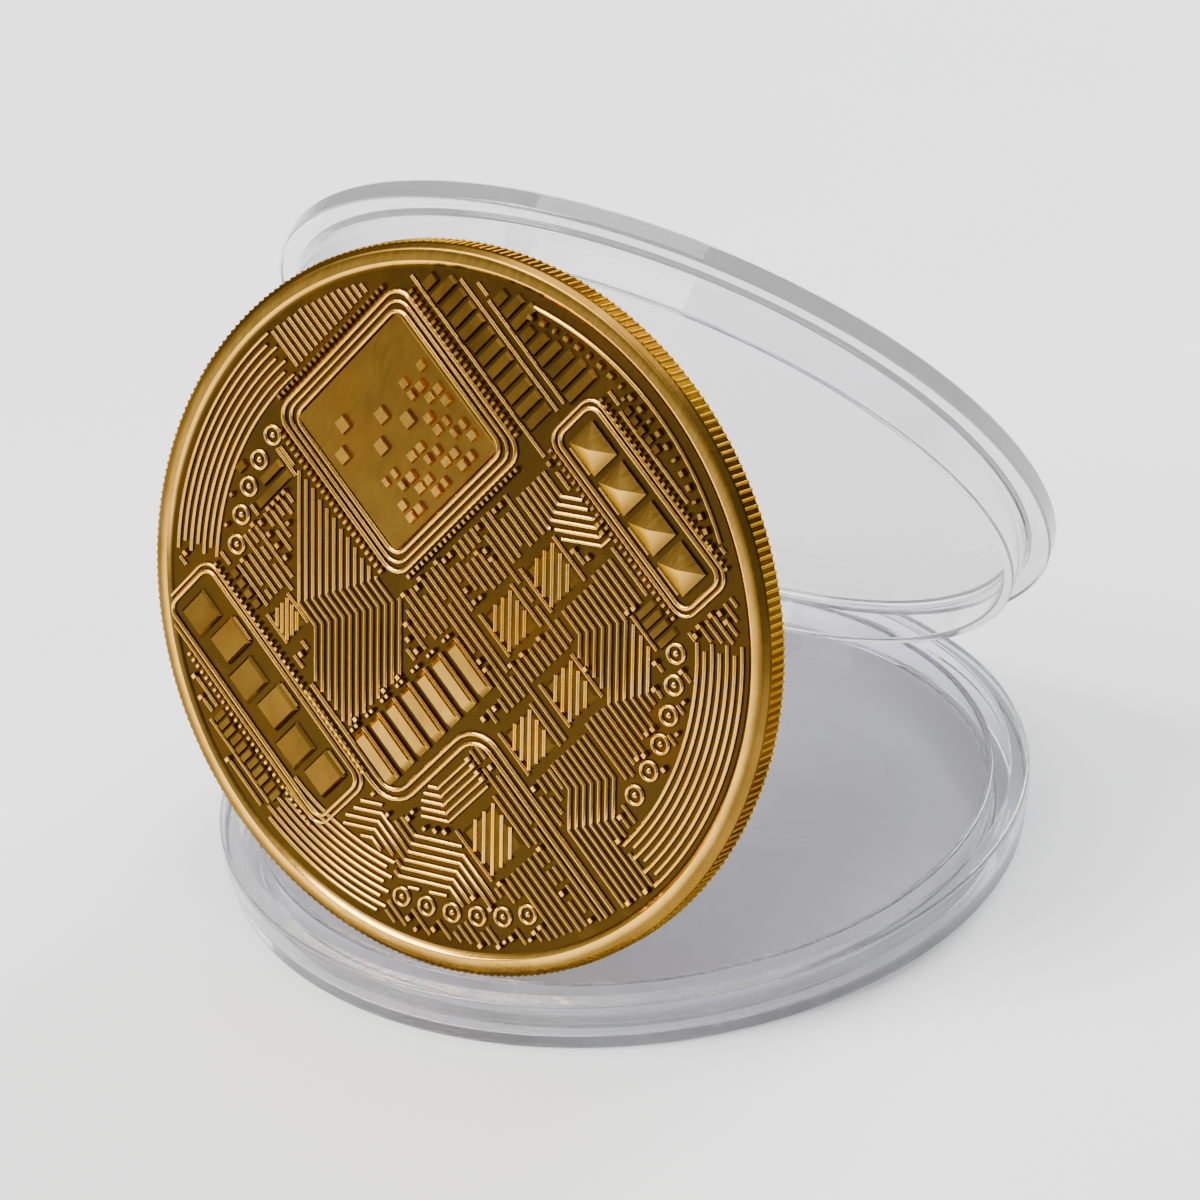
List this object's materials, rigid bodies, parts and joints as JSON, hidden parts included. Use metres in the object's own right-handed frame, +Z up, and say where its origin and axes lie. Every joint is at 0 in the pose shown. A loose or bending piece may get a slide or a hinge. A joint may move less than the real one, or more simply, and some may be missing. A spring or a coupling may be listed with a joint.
{
  "type": "coin capsule",
  "caption": "Round clear two-part capsule standing open with a gilt coin: the coin stands on edge in the base and props the leaning lid.",
  "frame": {"origin": "middle of the base's flat underside", "axes": "+Z up, along the base's axis; -Y towards the side it is seen from; the coin stands at the front left and the lid leans from the back right"},
  "size_m": [0.0502, 0.048, 0.0419],
  "materials": {
    "clear_base": "clear polished moulding",
    "clear_lid": "clear polished moulding",
    "gilt_coin": "polished gilt with darker recesses"
  },
  "bodies": {
    "base": {"capsule_base": "clear_base"},
    "lid": {"capsule_lid": "clear_lid"},
    "coin": {"coin": "gilt_coin"}
  },
  "joints": [
    {"name": "coin_lift", "type": "slide", "parent": "base", "child": "coin", "axis": [0, 0, 1], "range_m": [0, 0.045]},
    {"name": "lid_tip", "type": "hinge", "parent": "base", "child": "lid", "pos_m": [0.01203, 0.01811, 0.00367], "axis": [-0.8329, 0.5534, 0], "range_deg": [0, 129]}
  ],
  "couplings": [
    {"joint": "lid_tip", "follows": "coin_lift", "rad_per_m": 50}
  ]
}
